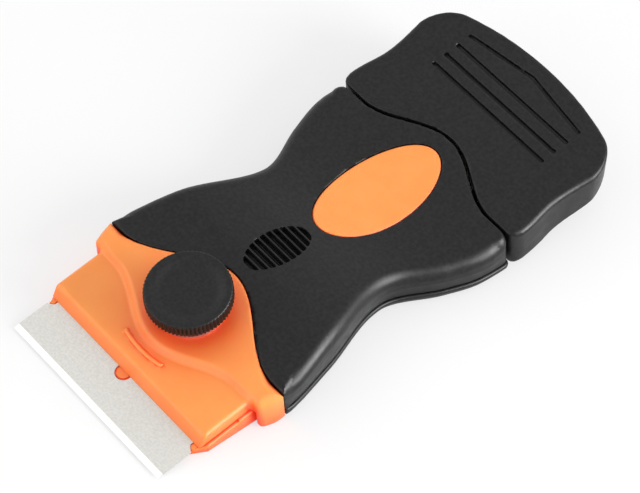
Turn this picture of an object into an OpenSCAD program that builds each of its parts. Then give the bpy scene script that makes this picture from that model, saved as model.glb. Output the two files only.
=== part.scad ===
// Razor blade scraper with a screw clamp, a waisted two-shell handle and a pull-off blade cap.
// Millimetres, +Z up. The blade points to -Y and the flat underside lies on Z = 0.

/* [Blade] */
// Length of the cutting edge
blade_w = 39; // [37:0.5:40]
// Depth from edge to edge
blade_d = 17; // [16:0.5:18]
// Thickness of the steel
blade_t = 0.25; // [0.2:0.05:0.3]
// Depth of the ground bevel
bevel_d = 1.5; // [1:0.1:2.5]
// Diameter of the middle hole
blade_hole_d = 3.2; // [2.6:0.1:4]
// Width of the notch at each end's edge
notch_w = 2.6; // [2.2:0.1:3]
// Width of the notch at its bottom
notch_floor_w = 0.8; // [0.6:0.1:1.2]
// Depth of the notch in each end
notch_d = 1.2; // [1:0.1:1.6]
// Height of the cutting edge above the resting face
edge_z = 0.5; // [0.4:0.1:1.2]
// Forward tilt of the head, in degrees
head_pitch = 11; // [9:0.5:12]

/* [Jaws] */
// Distance from the cutting edge to the upper jaw
upper_reach = 8.7; // [8.2:0.1:9.6]
// Distance from the cutting edge to the lower jaw
lower_reach = 7; // [6.4:0.1:7.6]
// Width of the upper jaw's plate
upper_jaw_w = 40; // [38.6:0.2:40.4]
// Width of the lower jaw
lower_jaw_w = 40.8; // [40:0.2:41.2]
// How far the lower jaw's front corners are drawn in
seat_taper = 1.2; // [0.4:0.1:1.4]
// Length over which they are drawn in
seat_taper_l = 2; // [1:0.1:3]
// Thickness of the upper jaw's plate
jaw_t = 2.7; // [2:0.05:3]
// Set-back of the plate's sloped front face
jaw_slope = 1.4; // [0.8:0.05:2.5]
// Height of the collar above the blade
collar_h = 3.7; // [3.4:0.05:4]
// Distance from the cutting edge to the collar's front step at the sides
collar_y = 20.1; // [19.6:0.1:20.6]
// How far the collar's front step swells forward round the knob
collar_bulge = 5.5; // [4:0.1:6]
// Half-width of that swelling at half its depth
collar_half = 8.2; // [7.5:0.1:9]
// Distance from the cutting edge to the handle seam at the sides
seam_y = 24.7; // [24:0.1:25.5]
// How far the handle seam swells to the rear behind the knob
seam_bulge = 9.1; // [8.2:0.1:10]
// Half-width of that swelling at half its depth
seam_half = 10.5; // [9.8:0.1:11]
// Height of the arc rib on the upper jaw
rib_h = 0.35; // [0.2:0.05:0.6]
// Radius of the arc rib
rib_r = 20; // [16:1:26]
// Width of the arc rib
rib_w = 0.7; // [0.5:0.1:1.2]
// Angle that the arc rib spans
rib_angle = 28; // [18:1:32]

/* [Clamp] */
// Distance from the cutting edge to the knob's axis
knob_y = 23.8; // [23.4:0.1:24.2]
// Diameter of the knurled rim
knob_d = 15.7; // [14.4:0.1:16]
// Height of the knurled rim
knob_rim_h = 3.3; // [2.6:0.1:3.8]
// Diameter of the hub under the rim
knob_hub_d = 10.4; // [9:0.1:11]
// Height of the hub
knob_hub_h = 2.85; // [2.2:0.05:3.4]
// Number of knurls
knob_teeth = 68; // [48:1:72]
// Depth of a knurl
knurl_d = 0.3; // [0.2:0.05:0.4]
// Depth of the dish in the knob's top
knob_dish = 0.3; // [0.1:0.05:0.5]
// Diameter of the clamp screw
screw_d = 4; // [3.5:0.1:4.2]
// Width of the nut across its flats
nut_af = 7; // [6.5:0.1:7.5]
// Thickness of the nut
nut_t = 3.2; // [2.8:0.1:3.4]
// Outer diameter of the washer
washer_d = 11.6; // [10.6:0.1:12.4]
// Thickness of the washer
washer_t = 0.5; // [0.4:0.05:0.8]

/* [Handle] */
// Width across the front corners of the collar
collar_w = 43.4; // [42.8:0.2:44]
// Width just behind the seam
front_w = 45.6; // [44.8:0.2:46.4]
// Width of the flank behind the knob
flank_w = 40.8; // [39:0.2:42]
// Width of the waist
waist_w = 31.4; // [30:0.2:34]
// Width of the hip behind the waist
hip_w = 40.4; // [39:0.2:42]
// Width of the shoulder before the cap
shoulder_w = 44.2; // [43:0.2:45]
// Width at the cap seam
rear_w = 44.6; // [43.6:0.2:45.6]
// Height of the deck behind the knob
deck_h = 11.3; // [10.8:0.05:11.6]
// Height of the deck at the thumb dish
dish_h = 8.8; // [8.7:0.05:9.6]
// Thickness of the side walls
wall = 2; // [1.6:0.1:2.4]
// Thickness of the roof over the handle
roof_t = 1.9; // [1.7:0.05:2]
// Thickness of the floor
floor_t = 1.6; // [1.4:0.05:1.7]
// Height of the parting line between the shells
parting_z = 2.8; // [2.5:0.1:3]
// Length of the orange oval
oval_l = 27.8; // [24:0.2:28]
// Width of the orange oval
oval_w = 14.3; // [12:0.1:16]
// Thickness of the orange oval
oval_t = 1.2; // [0.8:0.05:1.3]
// Length of the field of grip slots
slots_l = 13.6; // [11:0.2:14]
// Width of the field of grip slots
slots_w = 7.1; // [5:0.1:9]
// Number of grip slots
slot_count = 10; // [5:1:12]
// Width of the ridge between two grip slots
slot_ridge = 0.3; // [0.2:0.05:0.5]
// Depth of the grip slots
slot_depth = 1; // [0.6:0.05:1.2]

/* [Cap] */
// Whole length from the cutting edge to the rear of the cap
overall_len = 105.7; // [104.5:0.1:108]
// Distance from the cutting edge to the cap seam at the sides
cap_y = 76.2; // [75.5:0.1:77]
// How far the cap seam swells to the rear in the middle
cap_bulge = 6.1; // [5:0.1:7]
// Half-width of that swelling at half its depth
cap_half = 8.5; // [7.5:0.1:9.5]
// Gap between the handle and the cap
cap_gap = 0.6; // [0.4:0.05:0.8]
// Width of the cap behind its front corners
cap_front_w = 46.4; // [45.6:0.2:47]
// How far the cap's front corners are drawn in
cap_ear_in = 1.2; // [0.6:0.1:1.6]
// Width of the cap's waist
cap_waist_w = 44.2; // [43.4:0.2:45]
// Width of the cap at its rear corners
cap_w = 46.3; // [45.1:0.2:46.9]
// Radius of the cap's rear corners
cap_corner_r = 5; // [4.5:0.5:8]
// Radius of the cap's rear edge
cap_rear_r = 61; // [55:1:90]
// Height of the top where the cap begins to rise
tail_h = 11.8; // [11.5:0.05:12.2]
// Height of the top at the rear end
end_h = 15.4; // [14.6:0.1:15.8]
// How far the underside rises to the rear
keel_h = 6.3; // [5.8:0.1:6.6]
// Length over which it rises that far
keel_len = 26.5; // [25.5:0.1:27.5]
// Length of the cap's grooves
groove_l = 29.2; // [24:0.2:32]
// Width of the cap's grooves
groove_w = 0.8; // [0.5:0.05:1.2]
// Depth of the cap's grooves
groove_depth = 0.6; // [0.3:0.05:0.8]
// Distance from groove to groove
groove_pitch = 2.9; // [2.4:0.1:3.2]
// Rearward reach of the chevron's point
chevron_rise = 2.1; // [1:0.1:2.6]

/* [Tray] */
// Height of the tray's underside
tray_z = 3.8; // [3.75:0.05:3.85]
// Height of the tray
tray_h = 2.9; // [2.6:0.05:2.95]
// Thickness of the tray's floor
tray_floor = 0.8; // [0.6:0.05:1]
// Thickness of the tray's walls
tray_wall = 1.1; // [0.8:0.1:1.5]

/* [Fits] */
// Gap between pieces that slide past each other
slide_gap = 0.35; // [0.3:0.05:0.45]
// Gap between pieces fixed face to face
seat_gap = 0.05; // [0.02:0.01:0.08]
// Radial gap of the clamp screw in the nut
thread_gap = 0.05; // [0.03:0.01:0.08]

/* [Hidden] */
$fn = 64;

black = "#2a2a2c";
orange = "#ff8f45";
steel = "#cfccc5";

// Reach of the tool solids that cut everything on one side of a line
far = 80;
// Step along X of the wave lines and along Y of the outlines
wave_step = 1.6;
side_step = 2;
// Overlap of cutters past the face they cut
cut = 1;

// Places along the handle, from the cutting edge
collar_corner_y = 18.5;
front_y = 24;
flank_y = 37;
waist_y = 52.8;
hip_y = 64;
shoulder_y = 71;
handle_end_y = cap_y + cap_bulge + 1;
head_end_y = 28;
deck_y = 38;
dish_y = 62;
oval_y = 65.1;
tail_y = 86;
slots_y = 41.9;
cap_ear_y = 79.2;
cap_waist_y = 87.5;
keel_start = 3;
keel_y = cap_y + keel_start;
keel_slope = keel_h / keel_len;
groove_back = 14.2;
groove_y = overall_len - groove_back;
rib_back = 2;
rib_y = collar_y - collar_bulge - rib_back;

// Hairline between pieces stacked on each other
hair = 0.02;
// Gap between the blade and the closed upper jaw
jaw_gap = 0.03;
// Gap round the pegs that hold the blade
peg_gap = 0.2;
// Heights of the lower jaw and of the upper jaw's wings above the resting face
lower_jaw_z = 0.3;
wing_z = 0.4;

// Knob stack along the head's normal, measured from the blade's top
washer_z = collar_h + hair;
hub_z = washer_z + washer_t + hair;
rim_z = hub_z + knob_hub_h;
knob_top_z = rim_z + knob_rim_h;
screw_cover = 1.5;
screw_top_z = knob_top_z - screw_cover;
nut_cover = 0.9;
nut_z = -blade_t - nut_cover - nut_t;

// Spare blades
spare_pitch = blade_t + hair;
tray_clear = 0.25;
tray_inner_w = blade_d + 2 * tray_clear;
tray_inner_l = blade_w + 2 * tray_clear;
tray_w = tray_inner_w + 2 * tray_wall;
tray_tail = 2.6;
tray_sag = cap_rear_r - sqrt(pow(cap_rear_r, 2) - pow(tray_w / 2 + tray_wall, 2));
// The tray ends at the cap's rising floor or at its rear wall, whichever comes first
tray_end_y = min(keel_y + (tray_z - floor_t - seat_gap) / keel_slope,
                 overall_len - wall - tray_wall - tray_sag);
tray_y = tray_end_y - tray_tail - tray_inner_l - tray_wall;
rail_w = 1.6;

// Shell screws
shell_screw_d = 2.2;
shell_head_d = 4.6;
shell_head_t = 0.85;
shell_seat_z = 1;
shell_tip_z = 6.6;
boss_d = 5.2;
boss_y = 69.5;
boss_margin = 0.6;
tip_gap = 0.2;

// Tang of the lower jaw, held between the shells by the front screw
tang_w = 13.6;
tang_t = 2.2;
tang_gap = 1;
tang_end_y = tray_y - tang_gap;
// The front screw stands midway between the seam and the tray
tang_screw_y = (seam_y + seam_bulge + tray_y) / 2;

// Smooth curve through stations [place, value]
function leg(s, t, i = 0) = (i >= len(s) - 2 || t < s[i + 1][0]) ? i : leg(s, t, i + 1);
function lean(s, i) =
    let (a = s[max(i - 1, 0)], b = s[min(i + 1, len(s) - 1)])
    (b[1] - a[1]) / (b[0] - a[0]);
function curve(s, t) =
    let (i = leg(s, t))
    let (h = s[i + 1][0] - s[i][0])
    let (u = (t - s[i][0]) / h)
    s[i][1] * (2 * u * u * u - 3 * u * u + 1) + s[i + 1][1] * (3 * u * u - 2 * u * u * u)
    + h * lean(s, i) * (u * u * u - 2 * u * u + u) + h * lean(s, i + 1) * (u * u * u - u * u);

// Swelling of a seam line: 1 in the middle, 0.5 at half, 0 at twice half
function bell(x, half) = abs(x) >= 2 * half ? 0 : (1 + cos(90 * x / half)) / 2;

// Seam lines across the object
collar_line = function (x) collar_y - collar_bulge * bell(x, collar_half);
seam_line = function (x) seam_y + seam_bulge * bell(x, seam_half);
cap_line = function (x) cap_y + cap_bulge * bell(x, cap_half);

// Half-width of the handle and of the cap's sides
side_stations = [[collar_corner_y, collar_w / 2], [front_y, front_w / 2], [flank_y, flank_w / 2],
                 [waist_y, waist_w / 2], [hip_y, hip_w / 2], [shoulder_y, shoulder_w / 2],
                 [handle_end_y, rear_w / 2]];
cap_corner_y = overall_len - cap_rear_r
    + sqrt(pow(cap_rear_r - cap_corner_r, 2) - pow(cap_w / 2 - cap_corner_r, 2));
cap_stations = [[cap_y, cap_front_w / 2 - cap_ear_in], [cap_ear_y, cap_front_w / 2],
                [cap_waist_y, cap_waist_w / 2], [cap_corner_y, cap_w / 2]];
function side(y) = curve(side_stations, y);

// Height of the top surface along the object
function head_z(y) = edge_z + collar_h / cos(head_pitch) + y * tan(head_pitch);
top_stations = [[0, head_z(0)], [head_end_y, head_z(head_end_y)], [deck_y, deck_h], [dish_y, dish_h],
                [tail_y, tail_h], [overall_len, end_h]];
function top(y) = curve(top_stations, y);

// Frame with its origin under the middle of the object
module place() translate([0, -overall_len / 2, 0]) children();

// Frame of the tilted head: origin on the cutting edge, +Z normal to the blade
module head() translate([0, 0, edge_z]) rotate([head_pitch, 0, 0]) children();

module mirrored() {
    children();
    mirror([1, 0, 0]) children();
}

// Everything behind a wave line in plan
module behind(line, shift) {
    xs = [for (x = [-far / 2 : wave_step : far / 2]) x];
    translate([0, 0, -far / 2])
        linear_extrude(far)
            polygon(concat([for (x = xs) [x, line(x) + shift]], [[far / 2, 2 * far], [-far / 2, 2 * far]]));
}

// Plan of the handle, drawn in by inset
module handle_plan(inset) {
    ys = [for (y = [collar_corner_y - side_step : side_step : handle_end_y]) y];
    right = [for (y = ys) [side(y) - inset, y]];
    left = [for (i = [len(ys) - 1 : -1 : 0]) [-right[i][0], right[i][1]]];
    translate([0, 0, -cut])
        linear_extrude(far)
            polygon(concat(right, left));
}

// Plan of the cap, drawn in by inset
module cap_plan(inset) {
    turn = acos((cap_w / 2 - cap_corner_r) / (cap_rear_r - cap_corner_r));
    sides = [for (y = [cap_y : side_step : cap_corner_y - 1]) [curve(cap_stations, y) - inset, y]];
    corner = [for (a = [0 : turn / 8 : turn])
        [cap_w / 2 - cap_corner_r, cap_corner_y] + (cap_corner_r - inset) * [cos(a), sin(a)]];
    rear = [for (a = [turn : (90 - turn) / 4 : 89])
        [0, overall_len - cap_rear_r] + (cap_rear_r - inset) * [cos(a), sin(a)]];
    right = concat(sides, corner, [for (i = [1 : len(rear) - 1]) rear[i]], [[0, overall_len - inset]]);
    left = [for (i = [len(right) - 2 : -1 : 0]) [-right[i][0], right[i][1]]];
    translate([0, 0, -cut])
        linear_extrude(far)
            polygon(concat(right, left));
}

// Side profile given as [y, z] points, spread along X
module profile(points) rotate([90, 0, 90]) linear_extrude(far, center = true) polygon(points);

// Everything under the top surface lowered by drop
module under_top(drop) {
    ys = [for (y = [0 : side_step : overall_len - 1]) y];
    profile(concat([for (y = ys) [y, top(y) - drop]],
                   [[overall_len + cut, top(overall_len) - drop], [overall_len + cut, -far], [0, -far]]));
}

// The top skin of the object, depth thick, over the plan outlines given
module skin(depth) {
    difference() {
        translate([0, 0, -cut]) linear_extrude(far / 2) children();
        under_top(depth);
    }
}

// Everything above the cap's rising underside, raised by lift
module above_keel(lift) {
    end_y = overall_len + cut;
    profile([[cap_y - cut, lift], [keel_y, lift], [end_y, keel_slope * (end_y - keel_y) + lift],
             [end_y, far], [cap_y - cut, far]]);
}

// Layer between two heights
module layer(low, high) translate([-far / 2, -cut, low]) cube([far, overall_len + 2 * cut, high - low]);

module oval(l, w, y) {
    translate([0, y])
        polygon([for (a = [0 : 6 : 354]) [w / 2 * cos(a), l / 2 * sin(a)]]);
}

// Block in the middle of the object: width, from y0 to y1 and z0 to z1
module block(w, y0, y1, z0, z1) translate([-w / 2, y0, z0]) cube([w, y1 - y0, z1 - z0]);

// Places of the shell screws: one through the tang, two behind the waist
boss_x = side(boss_y) - wall - boss_d / 2 - boss_margin;
screw_spots = [[0, tang_screw_y], [boss_x, boss_y], [-boss_x, boss_y]];

module at_screws() for (p = screw_spots) translate([p[0], p[1], 0]) children();

module handle_space(inset) {
    intersection() {
        handle_plan(inset);
        head() behind(seam_line, inset);
        difference() {
            layer(-cut, far / 2);
            behind(cap_line, -inset);
        }
    }
}

// Opening for the tray through the rear walls
module tray_mouth() {
    block(tray_w + 2 * slide_gap, cap_y - 3 * wall, handle_end_y + cut,
          tray_z - slide_gap, tray_z + tray_h + slide_gap);
}

// Opening for the tang through the front walls
module tang_slot() {
    block(tang_w + 2 * seat_gap, seam_y - cut, tang_end_y, parting_z - cut, parting_z + tang_t + seat_gap);
}

module slot_field() {
    pitch = slots_l / slot_count;
    intersection() {
        oval(slots_l, slots_w, slots_y);
        for (i = [0 : slot_count - 1])
            translate([-slots_w / 2, slots_y - slots_l / 2 + i * pitch + slot_ridge / 2])
                square([slots_w, pitch - slot_ridge]);
    }
}

module upper_shell() {
    color(black) place() difference() {
        union() {
            difference() {
                intersection() {
                    handle_space(0);
                    under_top(0);
                    layer(parting_z, far / 2);
                }
                intersection() {
                    handle_space(wall);
                    under_top(roof_t);
                    layer(parting_z - cut, far / 2);
                }
                tang_slot();
                tray_mouth();
            }
            intersection() {
                at_screws() translate([0, 0, parting_z]) cylinder(d = boss_d, h = far / 4);
                under_top(roof_t / 2);
                difference() {
                    layer(parting_z, far / 2);
                    block(tang_w, 0, tang_end_y + cut, 0, parting_z + tang_t + seat_gap);
                }
            }
        }
        at_screws() cylinder(d = shell_screw_d + 2 * seat_gap, h = shell_tip_z + tip_gap);
        skin(oval_t) oval(oval_l + 2 * seat_gap, oval_w + 2 * seat_gap, oval_y);
        skin(slot_depth) slot_field();
    }
}

module lower_shell() {
    color(black) place() difference() {
        union() {
            difference() {
                intersection() {
                    handle_space(0);
                    layer(0, parting_z);
                }
                intersection() {
                    handle_space(wall);
                    layer(floor_t, far / 2);
                }
            }
            at_screws() translate([0, 0, floor_t / 2]) cylinder(d = boss_d, h = parting_z - floor_t / 2);
            mirrored() translate([tray_inner_w / 2 - 2 * rail_w, tray_y, floor_t / 2])
                cube([rail_w, cap_y - wall / 2 - tray_y, tray_z - slide_gap / 2 - floor_t / 2]);
        }
        at_screws() {
            translate([0, 0, -cut]) cylinder(d = shell_screw_d + 4 * seat_gap, h = parting_z + 2 * cut);
            translate([0, 0, -cut]) cylinder(d = shell_head_d + 4 * seat_gap, h = shell_seat_z + cut);
        }
    }
}

module oval_inlay() {
    color(orange) place() intersection() {
        skin(oval_t - seat_gap) oval(oval_l, oval_w, oval_y);
        under_top(seat_gap);
    }
}

// Solid between the collar's front step and the handle seam, seen along the head's normal
module collar_space(front_shift, rear_shift) {
    difference() {
        behind(collar_line, front_shift);
        behind(seam_line, -rear_shift);
    }
}

module arc_rib() {
    translate([0, rib_y + rib_r, jaw_t - rib_h])
        rotate([0, 0, -90 - rib_angle / 2])
            rotate_extrude(angle = rib_angle)
                translate([rib_r - rib_w / 2, 0])
                    square([rib_w, 2 * rib_h]);
}

module upper_jaw() {
    wing_in = lower_jaw_w / 2 + slide_gap;
    color(orange) place() difference() {
        union() {
            head() intersection() {
                profile([[upper_reach, jaw_gap], [upper_reach + jaw_slope, jaw_t], [collar_y + cut, jaw_t],
                         [collar_y + cut, jaw_gap]]);
                block(upper_jaw_w, 0, far / 2, -cut, far / 2);
            }
            head() arc_rib();
            intersection() {
                handle_plan(0);
                head() collar_space(0, slide_gap);
                head() block(far, 0, far, jaw_gap, collar_h);
            }
            intersection() {
                handle_plan(0);
                head() collar_space(0, slide_gap);
                head() block(far, 0, far, -far / 4, collar_h / 2);
                layer(wing_z, far / 2);
                mirrored() translate([wing_in, 0, 0]) cube([far / 2, far, far / 2]);
            }
        }
        head() translate([0, knob_y, -cut]) cylinder(d = screw_d + 2 * slide_gap, h = far / 4);
    }
}

// Half-width of an end notch, x from the blade's middle
function notch_half(x) =
    (notch_floor_w + (x - blade_w / 2 + notch_d) * (notch_w - notch_floor_w) / notch_d) / 2;

// Plan of an end notch drawn in by gap, up to over past the blade's end
module notch_plan(gap, over) {
    deep = blade_w / 2 - notch_d + gap;
    mouth = blade_w / 2 + over;
    front = [for (x = [deep, mouth]) [x, gap - notch_half(x)]];
    rear = [for (x = [mouth, deep]) [x, notch_half(x) - gap]];
    translate([0, blade_d / 2]) polygon(concat(front, rear));
}

// Plan of the blade seat, its front corners drawn in
module seat_plan(back) {
    half = lower_jaw_w / 2;
    right = [[half - seat_taper, lower_reach], [half, lower_reach + seat_taper_l], [half, back]];
    polygon(concat(right, [for (i = [2 : -1 : 0]) [-right[i][0], right[i][1]]]));
}

module lower_jaw() {
    seat_end = blade_d + seat_gap;
    peg_z = -2 * blade_t;
    peg_h = 2 * blade_t - hair;
    color(orange) place() difference() {
        union() {
            intersection() {
                head() union() {
                    translate([0, 0, -far / 4]) linear_extrude(far / 4 - blade_t) seat_plan(seat_end + cut);
                    intersection() {
                        block(lower_jaw_w, seat_end, far / 2, -far / 4, 0);
                        difference() {
                            block(far, 0, far, -far / 2, far / 2);
                            behind(seam_line, -seat_gap);
                        }
                    }
                }
                layer(lower_jaw_z, far / 2);
            }
            head() translate([0, blade_d / 2, peg_z]) cylinder(d = blade_hole_d - 2 * peg_gap, h = peg_h);
            mirrored() head() translate([0, 0, peg_z]) linear_extrude(peg_h) notch_plan(peg_gap, -peg_gap);
            block(tang_w, seam_y + seam_bulge / 2, tang_end_y - seat_gap, parting_z, parting_z + tang_t);
        }
        translate([0, tang_screw_y, 0]) cylinder(d = shell_screw_d + 4 * seat_gap, h = far / 4);
        head() translate([0, knob_y, -far / 4]) {
            cylinder(d = screw_d + 2 * slide_gap, h = far / 2);
            cylinder(d = (nut_af + 2 * seat_gap) / cos(30), h = far / 4 + nut_z + nut_t + seat_gap, $fn = 6);
        }
    }
}

// One blade lying flat: edge on the X axis, top face on Z = 0
module razor() {
    difference() {
        rotate([90, 0, 90])
            linear_extrude(blade_w, center = true)
                polygon([[0, -blade_t / 2], [bevel_d, 0], [blade_d - bevel_d, 0], [blade_d, -blade_t / 2],
                         [blade_d - bevel_d, -blade_t], [bevel_d, -blade_t]]);
        translate([0, blade_d / 2, -cut]) cylinder(d = blade_hole_d, h = 2 * cut);
        mirrored() translate([0, 0, -cut]) linear_extrude(2 * cut) notch_plan(0, cut);
    }
}

module blade() color(steel) place() head() razor();

module knob_outline() {
    r = knob_d / 2;
    polygon([for (i = [0 : 2 * knob_teeth - 1])
        (i % 2 == 0 ? r : r - knurl_d) * [cos(180 * i / knob_teeth), sin(180 * i / knob_teeth)]]);
}

module clamp_knob() {
    edge = 0.4;
    core_d = knob_d - 2 * knurl_d - 2 * seat_gap;
    dish_span = core_d / 2 - 2 * edge;
    ball_r = (dish_span * dish_span + knob_dish * knob_dish) / (2 * knob_dish);
    color(black) place() head() translate([0, knob_y, 0]) difference() {
        union() {
            translate([0, 0, hub_z]) cylinder(d = knob_hub_d, h = knob_hub_h + edge);
            translate([0, 0, rim_z]) cylinder(d1 = core_d - 2 * edge, d2 = core_d, h = edge);
            translate([0, 0, rim_z + edge]) linear_extrude(knob_rim_h - 2 * edge) knob_outline();
            translate([0, 0, knob_top_z - edge]) cylinder(d1 = core_d, d2 = core_d - 2 * edge, h = edge);
        }
        translate([0, 0, knob_top_z - knob_dish + ball_r]) sphere(r = ball_r);
        translate([0, 0, hub_z - cut]) cylinder(d = screw_d + 2 * seat_gap, h = screw_top_z - hub_z + cut);
    }
}

module clamp_screw() {
    tip = 0.4;
    low = nut_z + hair;
    color(steel) place() head() translate([0, knob_y, 0]) {
        translate([0, 0, low + tip]) cylinder(d = screw_d, h = screw_top_z - low - tip);
        translate([0, 0, low]) cylinder(d1 = screw_d - 2 * tip, d2 = screw_d, h = tip);
    }
}

module clamp_nut() {
    color(steel) place() head() translate([0, knob_y, nut_z]) difference() {
        cylinder(d = nut_af / cos(30), h = nut_t, $fn = 6);
        translate([0, 0, -cut]) cylinder(d = screw_d + 2 * thread_gap, h = nut_t + 2 * cut);
    }
}

module knob_washer() {
    color(steel) place() head() translate([0, knob_y, washer_z]) difference() {
        cylinder(d = washer_d, h = washer_t);
        translate([0, 0, -cut]) cylinder(d = screw_d + 2 * slide_gap, h = washer_t + 2 * cut);
    }
}

module shell_screws() {
    slot = 0.6;
    color(steel) place() at_screws() difference() {
        union() {
            translate([0, 0, shell_seat_z - shell_head_t]) cylinder(d = shell_head_d, h = shell_head_t);
            translate([0, 0, shell_seat_z - shell_head_t / 2])
                cylinder(d = shell_screw_d, h = shell_tip_z - shell_seat_z + shell_head_t / 2);
        }
        for (a = [0, 90])
            rotate([0, 0, a])
                translate([-shell_head_d / 4, -slot / 2, -cut])
                    cube([shell_head_d / 2, slot, shell_seat_z + cut - shell_head_t / 2]);
    }
}

module groove_marks() {
    for (i = [0 : 2])
        translate([-groove_l / 2, groove_y + i * groove_pitch - groove_w / 2]) square([groove_l, groove_w]);
    y = groove_y + 3 * groove_pitch;
    polygon([[-groove_l / 2, y - groove_w / 2], [0, y + chevron_rise - groove_w / 2],
             [groove_l / 2, y - groove_w / 2], [groove_l / 2, y + groove_w / 2],
             [0, y + chevron_rise + groove_w / 2], [-groove_l / 2, y + groove_w / 2]]);
}

// Cap drawn in by inset at the sides and top and raised by lift at the underside
module cap_space(inset, lift) {
    intersection() {
        cap_plan(inset);
        above_keel(lift);
        under_top(inset);
    }
}

// Socket in the cap that holds the tray's tail
module tray_socket() {
    difference() {
        block(tray_w + 2 * tray_wall, tray_end_y - tray_tail, tray_end_y + tray_wall,
              0, tray_z + tray_h + tray_wall);
        block(tray_w + 2 * seat_gap, tray_y, tray_end_y + seat_gap,
              tray_z - seat_gap, tray_z + tray_h + seat_gap);
    }
}

module rear_cap() {
    color(black) place() difference() {
        intersection() {
            cap_space(0, 0);
            behind(cap_line, cap_gap);
        }
        difference() {
            cap_space(wall, floor_t);
            tray_socket();
        }
        skin(groove_depth) groove_marks();
    }
}

module blade_tray() {
    color(black) place() difference() {
        block(tray_w, tray_y, tray_end_y, tray_z, tray_z + tray_h);
        block(tray_inner_w, tray_y + tray_wall, tray_end_y - tray_tail, tray_z + tray_floor, far / 4);
    }
}

module spare_blade(i) {
    z = tray_z + tray_floor + i * spare_pitch;
    middle = tray_y + tray_wall + tray_inner_l / 2;
    color(steel) place() translate([blade_d / 2, middle, z]) rotate([0, 0, 90]) razor();
}

upper_shell();
lower_shell();
rear_cap();
oval_inlay();
upper_jaw();
lower_jaw();
blade();
clamp_knob();
clamp_screw();
clamp_nut();
knob_washer();
shell_screws();
blade_tray();
spare_blade(1);  // spare_blade_1
spare_blade(2);  // spare_blade_2
spare_blade(3);  // spare_blade_3
spare_blade(4);  // spare_blade_4
spare_blade(5);  // spare_blade_5
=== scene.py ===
import math

import bmesh
import bpy
import numpy as np
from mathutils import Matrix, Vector


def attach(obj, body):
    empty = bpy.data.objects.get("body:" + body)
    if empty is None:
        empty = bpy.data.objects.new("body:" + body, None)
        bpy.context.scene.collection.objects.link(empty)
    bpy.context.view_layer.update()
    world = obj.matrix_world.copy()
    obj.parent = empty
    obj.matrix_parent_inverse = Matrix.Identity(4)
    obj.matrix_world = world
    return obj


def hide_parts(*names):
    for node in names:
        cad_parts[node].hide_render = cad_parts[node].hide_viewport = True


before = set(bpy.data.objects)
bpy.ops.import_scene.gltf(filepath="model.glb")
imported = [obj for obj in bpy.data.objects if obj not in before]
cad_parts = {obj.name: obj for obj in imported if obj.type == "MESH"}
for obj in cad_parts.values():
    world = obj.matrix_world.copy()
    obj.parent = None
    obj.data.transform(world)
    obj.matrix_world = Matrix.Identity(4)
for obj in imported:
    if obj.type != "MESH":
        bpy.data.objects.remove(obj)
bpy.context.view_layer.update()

# Sizes in millimetres, as in the part's source. Y runs from the cutting edge, Z from the resting face.
MM = 0.001
LENGTH, HALF_W = 105.7, 23.15

# The head, which holds the blade and the jaws, is pitched up from the cutting edge
EDGE_Z = 0.5
PITCH = math.radians(11)

# Gaps: between touching faces, in seats, in slides, along the cap's and the collar's seams, round the oval
FACE_GAP, SEAT_GAP, SLIDE_GAP, CAP_GAP, SEAM_GAP, OVAL_GAP = 0.04, 0.05, 0.35, 0.6, 0.15, 0.1

# Blade. The stations of a notch are depth from the blade's end and half width.
BLADE_W, BLADE_D, BLADE_T, BEVEL = 39.0, 17.0, 0.25, 1.15
HOLE_R, HOLE_SIDES = 1.6, 48
NOTCH = ((0.0, 1.3), (0.75, 0.8), (1.2, 0.4))

# Seams that swell in the middle: place along the object, swell, half width of the swell
COLLAR = (20.1, -5.5, 8.2)
SEAM = (24.8, 9.0, 10.1)
CAP_SEAM = (76.2, 6.1, 8.5)

# Upper jaw: its plate, collar, wings and arc rib
UPPER_REACH, PLATE_HALF, PLATE_T, PLATE_SLOPE = 8.7, 20.0, 2.7, 1.4
COLLAR_H, WING_Z, WING_CHAMFER = 3.7, 0.4, 0.35
RIB_R, RIB_Y, RIB_HALF_W, RIB_HALF_L, RIB_H, RIB_ROOT = 20.0, 32.6, 0.36, 4.9, 0.5, 0.5
STUD_HOLE_R = 2.35

# Lower jaw: its seat, the peg and lugs that hold the blade, the screwed tang and the nut's pocket
LOWER_REACH, SEAT_HALF, SEAT_TAPER, SEAT_Z = 7.0, 20.5, (1.5, 3.0), 0.3
PEG_GAP, LUG_GAP, LUG_X, PEG_Z = 0.4, 0.15, (0.2, 1.0), (-0.5, -0.02)
TANG_HALF, TANG_Y, TANG_Z, TANG_HOLE_R = 6.8, (29.0, 43.99), (2.86, 5.0), 1.2
NUT_HALF, NUT_TOP = 3.55, -1.1

# Knob
KNOB_Y, KNOB_R, KNOB_TEETH, KNURL = 23.8, 7.75, 68, 0.3
HUB_R, HUB_Z, RIM_Z, KNOB_TOP, KNOB_DISH = 5.2, 4.24, 7.09, 10.34, 0.6

# Shells
WALL, ROOF, FLOOR, PARTING = 2.0, 1.9, 1.6, 2.8
FLANK_SWELL, LOWER_LEAN, LIP = 0.4, 0.06, 0.4
PARTING_GROOVE = 0.4
SCREWS = ((0.0, 39.42), (16.63, 69.5), (-16.63, 69.5))
BOSS_R, RECESS_R, RECESS_DEPTH = 2.6, 2.4, 1.0
MOUTH_Y = 70.0
# Ovals: half width, half length, place, depth
OVAL = (7.15, 13.9, 65.3, 0.8)
SLOTS = (3.65, 7.2, 41.9, 1.15)
SLOT_COUNT, SLOT_RIDGE, SLOT_END_R = 10, 0.34, 0.35
# Hollow for the thumb: depth, half width, place, half length
THUMB = (0.6, 16.0, 64.0, 19.0)

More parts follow.
